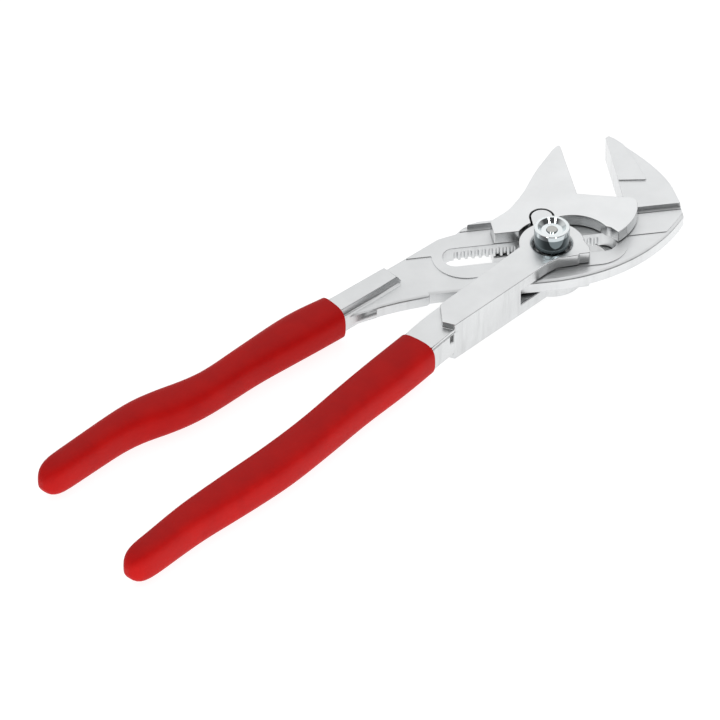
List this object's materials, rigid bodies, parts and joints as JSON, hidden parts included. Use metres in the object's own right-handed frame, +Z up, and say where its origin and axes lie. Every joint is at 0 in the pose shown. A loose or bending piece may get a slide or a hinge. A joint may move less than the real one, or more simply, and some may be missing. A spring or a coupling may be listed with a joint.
{
  "type": "pliers wrench",
  "caption": "Adjustable pliers wrench with smooth parallel jaws, a toothed slot set by a sprung push button, a forked lever that drives the sliding jaw, and dipped handle sleeves.",
  "frame": {"origin": "middle of the footprint, on the plane that the tool lies on", "axes": "+X along the slot towards the fixed jaw, +Y towards the jaw tips, +Z up, towards the push button"},
  "size_m": [0.2142, 0.1756, 0.0199],
  "materials": {
    "forged_steel": "satin plated, finely ground faces",
    "bright_plating": "bright plated, turned",
    "spring_steel": "plain spring steel",
    "red_vinyl": "satin dip coating"
  },
  "bodies": {
    "fixed_limb": {"fixed_limb": "forged_steel", "fixed_limb_sleeve": "red_vinyl"},
    "pivot_carriage": {"spring_washer": "spring_steel", "button_spring": "spring_steel"},
    "lever": {"lever_limb": "forged_steel", "lever_sleeve": "red_vinyl"},
    "sliding_jaw": {"sliding_jaw": "forged_steel"},
    "bolt_and_button": {"pivot_bolt": "bright_plating", "push_button": "bright_plating"}
  },
  "joints": [
    {"name": "adjust_slide", "type": "slide", "parent": "fixed_limb", "child": "pivot_carriage", "axis": [1, 0, 0], "range_m": [-0.0264, 0.0132]},
    {"name": "lever_hinge", "type": "hinge", "parent": "pivot_carriage", "child": "lever", "pos_m": [0.06318, 0.03581, 0.0068], "axis": [0, 0, 1], "range_deg": [-0.3, 20]},
    {"name": "jaw_slide", "type": "slide", "parent": "pivot_carriage", "child": "sliding_jaw", "axis": [1, 0, 0], "range_m": [-0.0046, 0.0003]},
    {"name": "button_press", "type": "slide", "parent": "pivot_carriage", "child": "bolt_and_button", "axis": [0, 0, -1], "range_m": [0, 0.0031], "stiffness_N_per_m": 1500, "springref_m": -0.002, "deforming": ["button_spring"]}
  ],
  "couplings": [
    {"joint": "jaw_slide", "follows": "lever_hinge", "m_per_rad": -0.0128}
  ]
}
